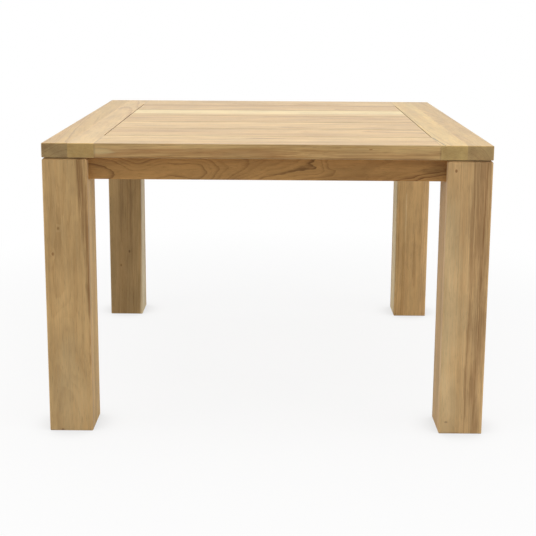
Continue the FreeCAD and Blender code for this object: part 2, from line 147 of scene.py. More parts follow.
FLOAT, VECTOR, COLOUR = "NodeSocketFloat", "NodeSocketVector", "NodeSocketColor"


def shader_group(name, inputs, outputs):
    """An empty shader group with named sockets."""
    tree = bpy.data.node_groups.new(name, "ShaderNodeTree")
    for way, sockets in (("INPUT", inputs), ("OUTPUT", outputs)):
        for label, kind in sockets.items():
            tree.interface.new_socket(label, in_out=way, socket_type=kind)
    given = tree.nodes.new("NodeGroupInput").outputs
    result = tree.nodes.new("NodeGroupOutput").inputs
    return Bench(tree), given, result


NOISE_MIDDLE = (0.5, 0.5, 0.5)
ACROSS_LOG = (0.0, 1.0, 1.0)


def eye_group():
    """An eye in the figure: a soft hump in the growth rings, with a knot at its heart."""
    knot_edge = (0.6, 0.95)
    inputs = {"Place": VECTOR, "Centre": VECTOR, "Reach": VECTOR, "Rise": FLOAT}
    bench, given, result = shader_group("eye", inputs, {"Swell": FLOAT, "Core": FLOAT})
    away = bench.vector("SUBTRACT", given["Place"], given["Centre"])
    away = bench.vector("DIVIDE", away, given["Reach"])
    spread = bench.vector("DOT_PRODUCT", away, away)
    fall = bench.math("EXPONENT", bench.math("MULTIPLY", spread, -1.0))
    bench.put(result["Swell"], bench.math("MULTIPLY", fall, given["Rise"]))
    bench.put(result["Core"], bench.span(fall, *knot_edge))
    return bench.tree


def streak_group():
    """A streak that runs from one point to another and tapers to nothing."""
    bend_pace, bend_widths = 5.0, 2.5
    taper_start, tip_share = 0.25, 0.25
    solid, faded, feather = 0.4, 1.8, 0.9
    first_end, last_end = (-0.02, 0.06), (0.7, 1.0)
    inputs = {"Place": VECTOR, "Start": VECTOR, "End": VECTOR, "Width": FLOAT, "Grain": FLOAT}
    bench, given, result = shader_group("streak", inputs, {"Streak": FLOAT})
    place, start, width = given["Place"], given["Start"], given["Width"]
    run = bench.vector("SUBTRACT", given["End"], start)
    wander = bench.noise(bench.scaled(place, bend_pace), seed=3.0, detail=3.0, roughness=0.55)["Color"]
    wander = bench.vector("SUBTRACT", wander, NOISE_MIDDLE)
    wander = bench.scaled(wander, bench.math("MULTIPLY", width, bend_widths))
    away = bench.vector("SUBTRACT", bench.vector("ADD", place, wander), start)
    along = bench.vector("DOT_PRODUCT", away, run)
    along = bench.math("DIVIDE", along, bench.vector("DOT_PRODUCT", run, run))
    held = bench.math("ADD", along, 0.0, clamp=True)
    off = bench.vector("LENGTH", bench.vector("SUBTRACT", away, bench.scaled(run, held)))
    width = bench.math("MULTIPLY", width, bench.span(held, taper_start, 1.0, 1.0, tip_share))
    ragged = bench.math("MULTIPLY", given["Grain"], feather)
    across = bench.math("ADD", bench.math("DIVIDE", off, width), ragged)
    body = bench.span(across, solid, faded, 1.0, 0.0)
    ends = bench.math("MULTIPLY", bench.span(along, *first_end), bench.span(along, *last_end, 1.0, 0.0))
    bench.put(result["Streak"], bench.math("MULTIPLY", body, ends))
    return bench.tree


def figure_group():
    """Growth rings round the heart of the log, which runs along X through the place's origin."""
    # Each bend of the log: the size that sets it, its pace along and across the grain, its seed.
    bends = (("Waver", (1.5, 6.0, 6.0), 0.0), ("Curl", (7.0, 18.0, 18.0), 5.0))
    bend_reach = 4.0
    ragged_pace, ragged_depth = (30.0, 160.0, 160.0), 2.2 * MM
    drift_pace, drift_rings = 60.0, 3.0
    late_rise, late_fall, late_power, late_least = (0.25, 0.88), (0.9, 1.0), 1.6, 0.15
    vein_rise, vein_fall, vein_chance = (0.66, 0.92), (0.94, 1.0), (0.6, 0.95)
    break_across, break_along, break_edge = 90.0, 5.0, (0.38, 0.6)
    band_across, band_along, band_seed, band_edge = 30.0, 0.8, 9.0, (0.3, 0.7)
    inputs = {"Place": VECTOR, "Seed": FLOAT, "Ring Width": FLOAT, "Waver": FLOAT, "Curl": FLOAT,
              "Swell": FLOAT}
    outputs = {"Rings": FLOAT, "Veins": FLOAT, "Bands": FLOAT, "Radius": FLOAT, "Fibre Place": VECTOR}
    bench, given, result = shader_group("teak_figure", inputs, outputs)
    place, seed = given["Place"], given["Seed"]
    bent = place
    for size, pace, shift in bends:
        wander = bench.noise(bench.vector("MULTIPLY", place, pace), bench.math("ADD", seed, shift))["Color"]
        wander = bench.vector("SUBTRACT", wander, NOISE_MIDDLE)
        wander = bench.scaled(wander, bench.math("MULTIPLY", given[size], bend_reach))
        bent = bench.vector("ADD", bent, bench.vector("MULTIPLY", wander, ACROSS_LOG))
    along = bench.split(bent)["X"]
    radius = bench.vector("LENGTH", bench.vector("MULTIPLY", bent, ACROSS_LOG))
    radius = bench.math("ADD", radius, given["Swell"])

    def net(across_pace, along_pace):
        """A place for noise that follows the rings and the grain."""
        return bench.join(bench.math("MULTIPLY", radius, across_pace),
                          bench.math("MULTIPLY", along, along_pace))

    ragged = bench.noise(bench.vector("MULTIPLY", place, ragged_pace), seed)["Fac"]
    ragged = bench.math("MULTIPLY", bench.math("SUBTRACT", ragged, 0.5), ragged_depth)
    count = bench.math("DIVIDE", bench.math("ADD", radius, ragged), given["Ring Width"])
    drift = bench.noise(bench.join(bench.math("MULTIPLY", radius, drift_pace)), seed)["Fac"]
    phase = bench.math("ADD", count, bench.math("MULTIPLY", drift, drift_rings))
    part = bench.math("FRACT", phase)
    chance = bench.add("ShaderNodeTexWhiteNoise", noise_dimensions="2D")
    bench.put(chance.inputs["Vector"], bench.join(bench.math("FLOOR", phase), seed))
    chance = chance.outputs["Value"]
    late = bench.math("MULTIPLY", bench.span(part, *late_rise), bench.span(part, *late_fall, 1.0, 0.0))
    weight = bench.math("POWER", chance, late_power)
    weight = bench.math("MULTIPLY_ADD", weight, 1.0 - late_least, late_least)
    bench.put(result["Rings"], bench.math("MULTIPLY", late, weight))
    thin = bench.math("MULTIPLY", bench.span(part, *vein_rise), bench.span(part, *vein_fall, 1.0, 0.0))
    thin = bench.math("MULTIPLY", thin, bench.span(chance, *vein_chance))
    whole = bench.noise(net(break_across, break_along), seed)["Fac"]
    bench.put(result["Veins"], bench.math("MULTIPLY", thin, bench.span(whole, *break_edge)))
    bands = bench.noise(net(band_across, band_along), bench.math("ADD", seed, band_seed), 4.0, 0.6)["Fac"]
    bench.put(result["Bands"], bench.span(bands, *band_edge))
    bench.put(result["Radius"], radius)
    bench.put(result["Fibre Place"], bent)
    return bench.tree


def fibre_group():
    """Fine fibres, open pores, long streaks and clouds of tone along the grain, which runs along X."""
    # Each layer: pace along and across the grain, seed, detail, roughness, and where its mask eases in.
    layers = {
        "Fibre": ((7.0, 420.0, 420.0), 0.0, 3.0, 0.6, 0.25, 0.75),
        "Pores": ((40.0, 1300.0, 1300.0), 0.0, 0.0, 0.5, 0.64, 0.74),
        "Streaks": ((1.8, 48.0, 48.0), 3.0, 4.0, 0.62, 0.28, 0.72),
        "Clouds": ((7.0, 26.0, 26.0), 6.0, 3.0, 0.6, 0.3, 0.7),
    }
    inputs = {"Place": VECTOR, "Seed": FLOAT}
    bench, given, result = shader_group("teak_fibre", inputs, dict.fromkeys(layers, FLOAT))
    for mask, (pace, shift, detail, roughness, low, high) in layers.items():
        place = bench.vector("MULTIPLY", given["Place"], pace)
        layer = bench.noise(place, bench.math("ADD", given["Seed"], shift), detail, roughness)["Fac"]
        bench.put(result[mask], bench.span(layer, low, high))
    return bench.tree


def arris_group():
    """How near a point is to the arrises of a board, from the board's middle and half sizes."""
    inputs = {"Place": VECTOR, "Middle": VECTOR, "Half Size": VECTOR, "Width": FLOAT}
    bench, given, result = shader_group("arris", inputs, {"Arris": FLOAT})
    off = bench.vector("ABSOLUTE", bench.vector("SUBTRACT", given["Place"], given["Middle"]))
    x, y, z = bench.split(bench.vector("SUBTRACT", given["Half Size"], off))
    lower = bench.math("MINIMUM", x, y)
    upper = bench.math("MAXIMUM", x, y)
    second = bench.math("MAXIMUM", lower, bench.math("MINIMUM", upper, z))
    bench.put(result["Arris"], bench.math("SUBTRACT", 1.0, bench.span(second, 0.0, given["Width"])))
    return bench.tree


def end_group():
    """Where a board shows end grain: its faces that look along the grain."""
    turned_away, turned_along = 0.6, 0.9
    bench, given, result = shader_group("end_grain", {"Grain": VECTOR}, {"End": FLOAT})
    normal = bench.add("ShaderNodeNewGeometry").outputs["Normal"]
    facing = bench.math("ABSOLUTE", bench.vector("DOT_PRODUCT", normal, given["Grain"]))
    bench.put(result["End"], bench.span(facing, turned_away, turned_along))
    return bench.tree


FIGURE_MASKS = ("Rings", "Veins", "Bands", "Radius")
FIBRE_MASKS = ("Fibre", "Pores", "Streaks", "Clouds")
OWN_MASKS = ("Arris", "End", "Streak", "Pale", "Core")
DEPTHS = ("Ring Depth", "Band Depth", "Vein Depth", "Streak Depth", "Fibre Depth", "Cloud Depth",
          "Sap Radius", "End Tone", "End Fade", "Arris Tone")
WOODS = ("Light Wood", "Dark Wood", "Vein Wood", "Sapwood")
SURFACE = {"Colour": COLOUR, "Roughness": FLOAT, "Height": FLOAT}


def finish_group():
    """The colour, roughness and relief of sanded teak, from its figure and its wood colours."""
    middle, band_middle = 0.5, 0.35
    sap_edge, sap_share = (-4 * MM, 8 * MM), 0.85
    pore_tone = 0.22
    sanded, fibre_rough, end_rough, pore_rough = 0.54, 0.1, 0.15, 0.15
    fibre_height, ring_height = 0.35, 0.4
    inputs = dict.fromkeys(FIGURE_MASKS + FIBRE_MASKS + OWN_MASKS + DEPTHS, FLOAT)
    inputs |= dict.fromkeys(WOODS, COLOUR)
    bench, given, result = shader_group("teak_finish", inputs, SURFACE)

    def times(mask, share):
        return bench.math("MULTIPLY", given[mask], share)

    def weighed(mask, depth, zero=0.0):
        return bench.math("MULTIPLY", bench.math("SUBTRACT", given[mask], zero), given[depth])

    dark = bench.math("ADD", weighed("Rings", "Ring Depth"), weighed("Bands", "Band Depth", band_middle))
    dark = bench.math("ADD", dark, weighed("Streaks", "Streak Depth", middle), clamp=True)
    wood = bench.mix(dark, given["Light Wood"], given["Dark Wood"])
    vein = bench.math("MAXIMUM", weighed("Veins", "Vein Depth"), given["Streak"])
    wood = bench.mix(bench.math("MAXIMUM", vein, given["Core"]), wood, given["Vein Wood"])
    edge = bench.math("SUBTRACT", given["Radius"], given["Sap Radius"])
    pale = bench.math("MAXIMUM", bench.span(edge, *sap_edge, 0.0, sap_share), given["Pale"])
    wood = bench.mix(pale, wood, given["Sapwood"])
    value = bench.math("ADD", 1.0, weighed("Fibre", "Fibre Depth", middle))
    # Fibre, clouds, pores and end grain set the wood's value. The arris share lightens arrises as wear and
    # painted highlight, and when negative darkens them as painted shade in the seams.
    for share in (bench.math("ADD", 1.0, weighed("Clouds", "Cloud Depth", middle)),
                  bench.math("SUBTRACT", 1.0, times("Pores", pore_tone)),
                  bench.math("SUBTRACT", 1.0, weighed("End", "End Tone")),
                  bench.math("ADD", 1.0, weighed("Arris", "Arris Tone"))):
        value = bench.math("MULTIPLY", value, share)
    strength = bench.math("SUBTRACT", 1.0, weighed("End", "End Fade"))
    shade = bench.add("ShaderNodeHueSaturation")
    bench.fill(shade, Color=wood, Value=value, Saturation=strength)
    bench.put(result["Colour"], shade.outputs[0])
    rough = sanded
    for mask, share in (("Fibre", fibre_rough), ("End", end_rough), ("Pores", pore_rough)):
        rough = bench.math("ADD", rough, times(mask, share))
    bench.put(result["Roughness"], rough)
    height = bench.math("SUBTRACT", times("Fibre", fibre_height), given["Pores"])
    bench.put(result["Height"], bench.math("SUBTRACT", height, times("Rings", ring_height)))
    return bench.tree


EYE, STREAK, FIGURE = eye_group(), streak_group(), figure_group()
FIBRE, ARRIS, END, FINISH = fibre_group(), arris_group(), end_group(), finish_group()

# The axes across a board, for each axis that its grain may run along.
ACROSS = {"x": "yz", "y": "zx", "z": "xy"}

# Tones of wood: light and dark parts of the rings, veins, and pale sapwood. The veins of checked are cracks,
# whose dark is painted shade.
TONES = {
    "honey": ("caa66a", "a97b44", "7a4d22", "dbc088"),
    "amber": ("c5a15f", "a3763d", "75491f", "d8bc80"),
    "blond": ("d2b075", "b2884d", "845729", "e4cc93"),
    "ginger": ("d2b075", "b2884d", "945a28", "e4cc93"),
    "checked": ("d2b06b", "b28846", "3a2412", "e4cc88"),
    "tan": ("d0ad7b", "a97c4b", "77461f", "e6d3a6"),
    "olive": ("c7a471", "9f7542", "71431b", "e6d3a6"),
    "russet": ("b88b53", "865c34", "4e3019", "c8a26a"),
    "umber": ("a5895e", "826540", "583b22", "e9d9b3"),
}

# What every board has unless its own entry says otherwise.
PLAIN = {
    "tone": "tan",
    "heart": (0.03, 0.16),
    "lean": (1.0, -0.8),
    "ring_width": 3.6 * MM,
    "waver": 6.0 * MM,
    "curl": 1.0 * MM,
    "ring_depth": 0.45,
    "band_depth": 0.5,
    "vein_depth": 0.5,
    "streak_depth": 0.5,
    "fibre_depth": 0.16,
    "cloud_depth": 0.22,
    "sap_radius": 1.0,
    "end_tone": 0.3,
    "end_fade": 0.0,
    # Arrises a little lighter: wear, and a painted highlight where a rounded edge catches light.
    "arris_tone": 0.05,
    "gloss": 0.15,
    "sheen": 0.1,
    "eyes": (),
    "streaks": (),
}

# Each board's grain, tone, the log's heart beside its middle and the log's lean in degrees. An eye has its
# centre, its reach, how far it lifts the rings and how dark its knot is. A streak has its kind, depth, width,
# start and end.
BOARDS = {
    "left_outer_stave": {
        "grain": "y", "tone": "amber", "heart": (-0.07, 0.05), "lean": (0.6, -2.2), "end_tone": 0.37,
        "end_fade": 0.09,
        "streaks": [("dark", 0.3, 5 * MM, (-0.545, 0.05, 0.74), (-0.522, -0.36, 0.74))]},
    "left_inner_stave": {
        "grain": "y", "tone": "blond", "heart": (-0.15, -0.02), "lean": (0.4, 1.4), "end_fade": -0.06},
    "right_inner_stave": {
        "grain": "y", "tone": "checked", "heart": (-0.13, 0.05), "lean": (0.4, -1.2), "end_tone": 0.22,
        "end_fade": 0.03, "vein_depth": 0.25,
        # This dark streak is painted shade: the dark of an open crack in the stave, running to the front
        # edge.
        "streaks": [("dark", 1.0, 2.2 * MM, (0.4222, -0.395, 0.74), (0.4362, -0.62, 0.74))]},
    "right_outer_stave": {
        "grain": "y", "tone": "amber", "heart": (-0.06, -0.03), "lean": (0.5, 1.8), "end_tone": 0.21,
        "end_fade": 0.09},
    "front_board": {
        "grain": "x", "tone": "ginger", "heart": (0.05, -0.12),
        "eyes": [((0.251, -0.55, 0.729), (0.009, 0.006, 0.0022), 1 * MM, 0.9)],
        "streaks": [("pale", 0.5, 9 * MM, (-0.422, -0.55, 0.722), (-0.36, -0.55, 0.719)),
                    # The long dark streak on the front face is partly grain and partly painted shade that
                    # keeps this face darker than the top.
                    ("dark", 0.52, 16 * MM, (-0.8, -0.552, 0.717), (2.4, -0.552, 0.717))]},
    "back_board": {
        "grain": "x", "tone": "ginger", "heart": (-0.04, -0.13),
        # The same dark streak on the back face: partly grain, partly painted shade.
        "streaks": [("dark", 0.52, 16 * MM, (-0.8, 0.552, 0.717), (2.4, 0.552, 0.717))]},
    "slat_1": {"grain": "x", "tone": "blond", "heart": (0.02, -0.12)},
    "slat_2": {"grain": "x", "tone": "blond", "heart": (-0.05, -0.1)},
    "slat_3": {"grain": "x", "tone": "honey", "heart": (0.06, -0.11)},
    "slat_4": {
        "grain": "x", "tone": "blond", "heart": (-0.15, -0.08), "lean": (0.3, -0.3), "sap_radius": 0.16},
    "slat_5": {"grain": "x", "tone": "honey", "heart": (-0.03, -0.12)},
    "front_apron": {
        "grain": "x", "tone": "russet", "heart": (0.05, 0.005), "lean": (2.5, -4.0), "ring_width": 3.5 * MM,
        "waver": 11 * MM, "curl": 4 * MM, "ring_depth": 0.6, "vein_depth": 0.6, "band_depth": 0.6,
        "eyes": [((-0.317, -0.528, 0.69), (0.06, 0.04, 0.03), 10 * MM, 0.0),
                 ((-0.168, -0.528, 0.652), (0.05, 0.04, 0.026), -9 * MM, 0.0),
                 ((0.195, -0.528, 0.70), (0.06, 0.04, 0.026), 10 * MM, 0.0)],
        "streaks": [("dark", 0.5, 14 * MM, (0.46, -0.528, 0.676), (0.36, -0.528, 0.672))]},
    "back_apron": {"grain": "x", "tone": "russet", "heart": (-0.1, 0.02)},
    "left_apron": {"grain": "y", "tone": "russet", "heart": (0.02, 0.1)},
    "right_apron": {"grain": "y", "tone": "russet", "heart": (0.01, -0.1)},
    "left_bearer": {"grain": "y", "tone": "olive", "heart": (0.1, 0.02), "gloss": 0.0, "sheen": 0.0},
    "right_bearer": {"grain": "y", "tone": "olive", "heart": (0.12, 0.02), "gloss": 0.0, "sheen": 0.0},
    "front_left_leg_front_facing": {
        "grain": "z", "tone": "olive", "heart": (-0.01, 0.09), "lean": (0.5, 0.3), "ring_width": 4 * MM,
        "ring_depth": 0.38, "vein_depth": 0.3, "band_depth": 0.3, "streak_depth": 0.35,
        "eyes": [((-0.503, -0.55, 0.27), (0.024, 0.06, 0.06), 10 * MM, 0.0),
                 ((-0.488, -0.55, 0.17), (0.03, 0.06, 0.05), 8 * MM, 0.0),
                 ((-0.529, -0.55, 0.463), (0.006, 0.03, 0.009), 5 * MM, 0.6),
                 ((-0.514, -0.55, 0.528), (0.005, 0.03, 0.007), 4 * MM, 0.5),
                 ((-0.517, -0.55, 0.003), (0.007, 0.03, 0.005), 2 * MM, 0.9)],
        "streaks": [("dark", 0.62, 13 * MM, (-0.456, -0.55, 0.84), (-0.439, -0.55, 0.2)),
                    ("dark", 0.6, 3.5 * MM, (-0.467, -0.55, 0.8), (-0.442, -0.55, 0.3)),
                    # A thin dark line along the foot: painted contact shadow.
                    ("dark", 0.5, 3 * MM, (-0.6, -0.55, 0.001), (-0.4, -0.55, 0.001)),
                    ("pale", 0.2, 50 * MM, (-0.5, -0.55, -0.02), (-0.5, -0.55, 0.3))]},
    "front_right_leg_front_facing": {
        "grain": "z", "tone": "tan", "heart": (0.075, 0.02), "lean": (0.3, 0.5),
        "ring_depth": 0.35, "vein_depth": 0.3, "streak_depth": 0.35,
        "eyes": [((0.46, -0.55, 0.678), (0.006, 0.03, 0.008), 5 * MM, 0.7),
                 ((0.458, -0.55, 0.031), (0.008, 0.03, 0.005), 4 * MM, 0.6)],
        "streaks": [("dark", 0.45, 24 * MM, (0.532, -0.55, 1.2), (0.528, -0.55, -0.6)),
                    ("dark", 0.5, 7 * MM, (0.508, -0.55, 0.8), (0.502, -0.55, -0.2)),
                    ("dark", 0.62, 4 * MM, (0.538, -0.55, 0.78), (0.522, -0.55, -0.2)),
                    # A thin dark line along the foot: painted contact shadow.
                    ("dark", 0.5, 3 * MM, (0.4, -0.55, 0.001), (0.6, -0.55, 0.001)),
                    ("pale", 0.28, 40 * MM, (0.452, -0.55, 0.62), (0.452, -0.55, -0.3))]},
    "back_left_leg_back_facing": {"grain": "z", "tone": "tan", "heart": (0.02, -0.12)},
    "back_right_leg_back_facing": {"grain": "z", "tone": "tan", "heart": (-0.02, -0.1)},
}
# The top's boards also get painted shade along their arrises, for the shadow in the seams between them.
for name in ("front_board", "back_board", "slat_1", "slat_2", "slat_3", "slat_4", "slat_5"):
    BOARDS[name] |= {
        "ring_depth": 0.6, "band_depth": 0.75, "streak_depth": 0.9, "vein_depth": 0.7, "arris_tone": -0.3}
for name in ("slat_1", "slat_2"):
    BOARDS[name] |= {"band_depth": 0.6, "streak_depth": 0.7, "vein_depth": 0.55}
for name in BOARDS:
    if name.endswith(("board", "stave")) or name.startswith("slat"):
        BOARDS[name] |= {"gloss": 0.4, "sheen": 0.4}
for end in ("front", "back"):
    for side in ("left", "right"):
        BOARDS[f"{end}_{side}_leg_core"] = {"grain": "z", "tone": "tan", "heart": (0.05, 0.08)}
        BOARDS[f"{end}_{side}_leg_side_facing"] = {"grain": "z", "tone": "tan", "heart": (0.1, 0.02)}
        BOARDS[f"{end}_{side}_corner_block"] = {"grain": "z", "tone": "olive", "heart": (0.06, 0.05)}
BOARDS["back_left_leg_core"] |= {
    "tone": "umber", "heart": (-0.15, -0.1), "sap_radius": 0.2,
    "eyes": [((-0.482, 0.44, 0.225), (0.006, 0.03, 0.009), 5 * MM, 0.7),
             ((-0.512, 0.44, 0.175), (0.005, 0.03, 0.008), 4 * MM, 0.6),
             ((-0.44, 0.478, 0.618), (0.02, 0.007, 0.006), 3 * MM, 0.9)],
    "streaks": [("dark", 0.3, 11 * MM, (-0.508, 0.44, 0.68), (-0.506, 0.44, 0.2)),
                ("dark", 0.35, 5 * MM, (-0.476, 0.44, 0.52), (-0.470, 0.44, -0.1))]}
BOARDS["back_right_leg_core"] |= {
    "tone": "olive", "heart": (0.15, -0.1), "sap_radius": 0.2,
    "streaks": [("pale", 0.5, 2.5 * MM, (0.473, 0.44, 0.44), (0.4735, 0.44, 0.22)),
                ("dark", 0.3, 6 * MM, (0.505, 0.44, 0.1), (0.5, 0.44, 0.36))]}
BOARDS["back_left_leg_side_facing"] |= {"tone": "umber", "ring_depth": 0.3, "heart": (0.1, -0.05)}
BOARDS["front_left_leg_core"] |= {"tone": "blond"}
BOARDS["front_right_leg_core"] |= {"tone": "olive"}


SEED_STEP, FIRST_SEED = 1.7, 0.4
ARRIS_WIDTH = 6 * MM


def unit(axis):
    """The unit vector along an axis."""
    return [1.0 if own == axis else 0.0 for own in "xyz"]


def log_frame(grain, middle, heart, lean):
    """The turn and shift from the table's frame to a log's, which has its heart along X."""
    rows = [unit(axis) for axis in grain + ACROSS[grain]]
    tilt = Euler((0.0, math.radians(lean[0]), math.radians(lean[1]))).to_matrix()
    turn = tilt @ Matrix(rows)
    shift = -(turn @ middle) - Vector((0.0, *heart))
    return turn.to_euler(), shift


def teak(name, number, look):
    """The material of one board, cut from its own place in a log."""
    look = PLAIN | look
    low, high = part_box(name)
    middle, half = (low + high) / 2, (high - low) / 2
    material, bench = blank_material(f"teak_{name}")
    place = bench.add("ShaderNodeTexCoord").outputs["Object"]
    log = bench.add("ShaderNodeMapping")
    turn, shift = log_frame(look["grain"], middle, look["heart"], look["lean"])
    bench.fill(log, Vector=place, Location=shift, Rotation=turn)
    seed = SEED_STEP * number + FIRST_SEED

    swell, core = 0.0, 0.0
    for centre, reach, rise, dark in look["eyes"]:
        eye = bench.group(EYE, Place=place, Centre=centre, Reach=reach, Rise=rise)
        swell = bench.math("ADD", swell, eye["Swell"])
        core = bench.math("MAXIMUM", core, bench.math("MULTIPLY", eye["Core"], dark))
    figure = bench.group(FIGURE, Place=log.outputs[0], Seed=seed, Ring_Width=look["ring_width"],
                         Waver=look["waver"], Curl=look["curl"], Swell=swell)
    fibre = bench.group(FIBRE, Place=figure["Fibre Place"], Seed=seed)
    streaks = {"dark": 0.0, "pale": 0.0}
    for kind, depth, width, start, stop in look["streaks"]:
        run = bench.group(STREAK, Place=place, Start=Vector(start), End=Vector(stop),
                          Width=width, Grain=fibre["Fibre"])
        streaks[kind] = bench.math("MAXIMUM", streaks[kind], bench.math("MULTIPLY", run["Streak"], depth))
    arris = bench.group(ARRIS, Place=place, Middle=middle, Half_Size=half, Width=ARRIS_WIDTH)["Arris"]
    end = bench.group(END, Grain=unit(look["grain"]))["End"]
    masks = {mask: figure[mask] for mask in FIGURE_MASKS} | {mask: fibre[mask] for mask in FIBRE_MASKS}
    masks |= zip(OWN_MASKS, (arris, end, streaks["dark"], streaks["pale"], core))
    depths = {depth: look[depth.lower().replace(" ", "_")] for depth in DEPTHS}
    woods = {wood: tint(code) for wood, code in zip(WOODS, TONES[look["tone"]])}
    finish = bench.group(FINISH, **masks, **depths, **woods)
    bump = bench.add("ShaderNodeBump")
    bench.fill(bump, Height=finish["Height"], Strength=0.35, Distance=0.3 * MM)
    wood = bench.add("ShaderNodeBsdfPrincipled")
    bench.fill(wood, Base_Color=finish["Colour"], Roughness=finish["Roughness"], Normal=bump.outputs[0])
    bench.fill(wood, Specular_IOR_Level=look["gloss"], Sheen_Weight=look["sheen"], Sheen_Roughness=0.4)
    bench.show(wood)
    return material


def dress(node, material):
    """Gives a node of the frame its material, in place of the plain one."""
    slots = node.data.materials
    slots.clear()
    slots.append(material)


for number, (name, look) in enumerate(BOARDS.items()):
    dress(NODES[name], teak(name, number, look))


# Metal: brushed stainless steel and brass

def metal_group():
    """The colour, roughness and relief of turned metal, with fine scratches and a few dull patches."""
    patch_pace, patch_edge, patch_rough = 160.0, (0.45, 0.7), 0.16
    scratch_pace, scratch_rough = (900.0, 900.0, 5000.0), 0.14
    inputs = {"Place": VECTOR, "Clean": COLOUR, "Dull": COLOUR, "Shine": FLOAT}
    bench, given, result = shader_group("turned_metal", inputs, SURFACE)
    place = given["Place"]
    patches = bench.noise(bench.scaled(place, patch_pace), seed=2.0, detail=3.0, roughness=0.6)["Fac"]
    dull = bench.span(patches, *patch_edge)
    scratches = bench.noise(bench.vector("MULTIPLY", place, scratch_pace), seed=5.0)["Fac"]
    bench.put(result["Colour"], bench.mix(dull, given["Clean"], given["Dull"]))
    rough = bench.math("MULTIPLY_ADD", dull, patch_rough, given["Shine"])
    bench.put(result["Roughness"], bench.math("MULTIPLY_ADD", scratches, scratch_rough, rough))
    bench.put(result["Height"], scratches)
    return bench.tree


METAL = metal_group()


def metal(name, clean, dull, shine):
    """A metal material from its clean and dull colours and the roughness of its clean parts."""
    material, bench = blank_material(name)
    place = bench.add("ShaderNodeTexCoord").outputs["Object"]
    finish = bench.group(METAL, Place=place, Clean=tint(clean), Dull=tint(dull), Shine=shine)
    bump = bench.add("ShaderNodeBump")
    bench.fill(bump, Height=finish["Height"], Strength=0.2, Distance=0.05 * MM)
    shader = bench.add("ShaderNodeBsdfPrincipled")
    bench.fill(shader, Base_Color=finish["Colour"], Roughness=finish["Roughness"], Normal=bump.outputs[0])
    bench.fill(shader, Metallic=1.0)
    bench.show(shader)
    return material


# Fasteners: Geometry Nodes set one on each seat that the frame's own fasteners give

INT, MESH, MATERIAL = "NodeSocketInt", "NodeSocketGeometry", "NodeSocketMaterial"
SEAT_AIM = "aim"
HEXAGON_SIDES, SCREW_SIDES, RING_SIDES, PIN_SIDES, DOWEL_SIDES = 6, 24, 32, 24, 72
SHANK_STEPS, THREAD_STEPS, DOWEL_STEPS = 2, 96, 32
# The most stations that a turned outline has.
STATIONS = 8
# The angle in radians above which an edge is shaded sharp, and the distance within which points are one.
CREASE, WELD = 0.6, 0.001 * MM


def geometry_group(name, inputs):
    """An empty geometry group with named inputs and one mesh as its output."""
    tree = bpy.data.node_groups.new(name, "GeometryNodeTree")
    for label, kind in inputs.items():
        tree.interface.new_socket(label, in_out="INPUT", socket_type=kind)
    tree.interface.new_socket("Mesh", in_out="OUTPUT", socket_type=MESH)
    given = tree.nodes.new("NodeGroupInput").outputs
    result = tree.nodes.new("NodeGroupOutput").inputs
    return Bench(tree), given, result


def threaded_pin_group():
    """A round pin along Z with a helical thread or flutes, tapered towards its far end."""
    inputs = {"Radius": FLOAT, "Start": FLOAT, "Length": FLOAT, "Pitch": FLOAT, "Starts": INT, "Depth": FLOAT,
              "Taper Length": FLOAT, "Tip Share": FLOAT, "Around": INT, "Along": INT}
    bench, given, result = geometry_group("threaded_pin", inputs)
    pin = bench.add("GeometryNodeMeshCylinder")
    bench.fill(pin, Vertices=given["Around"], Side_Segments=given["Along"], Radius=given["Radius"],
               Depth=given["Length"])
    x, y, z = bench.split(bench.add("GeometryNodeInputPosition").outputs[0])
    rise = bench.math("MULTIPLY_ADD", given["Length"], 0.5, z)
    turn = bench.math("DIVIDE", bench.math("ARCTAN2", y, x), math.tau)
    turn = bench.math("MULTIPLY", turn, given["Starts"])
    phase = bench.math("SUBTRACT", bench.math("DIVIDE", rise, given["Pitch"]), turn)
    crest = bench.math("PINGPONG", phase, 0.5)
    cut = bench.math("MULTIPLY", bench.math("MULTIPLY_ADD", crest, -2.0, 1.0), given["Depth"])
    share = bench.math("SUBTRACT", 1.0, bench.math("DIVIDE", cut, given["Radius"]))
    left = bench.math("SUBTRACT", given["Length"], rise)
    left = bench.math("DIVIDE", left, given["Taper Length"], clamp=True)
    lost = bench.math("SUBTRACT", 1.0, given["Tip Share"])
    share = bench.math("MULTIPLY", share, bench.math("MULTIPLY_ADD", lost, left, given["Tip Share"]))
    place = bench.join(bench.math("MULTIPLY", x, share), bench.math("MULTIPLY", y, share),
                       bench.math("ADD", rise, given["Start"]))
    shaped = bench.add("GeometryNodeSetPosition")
    bench.fill(shaped, Geometry=pin.outputs["Mesh"], Position=place)
    bench.put(result["Mesh"], shaped.outputs[0])
    return bench.tree


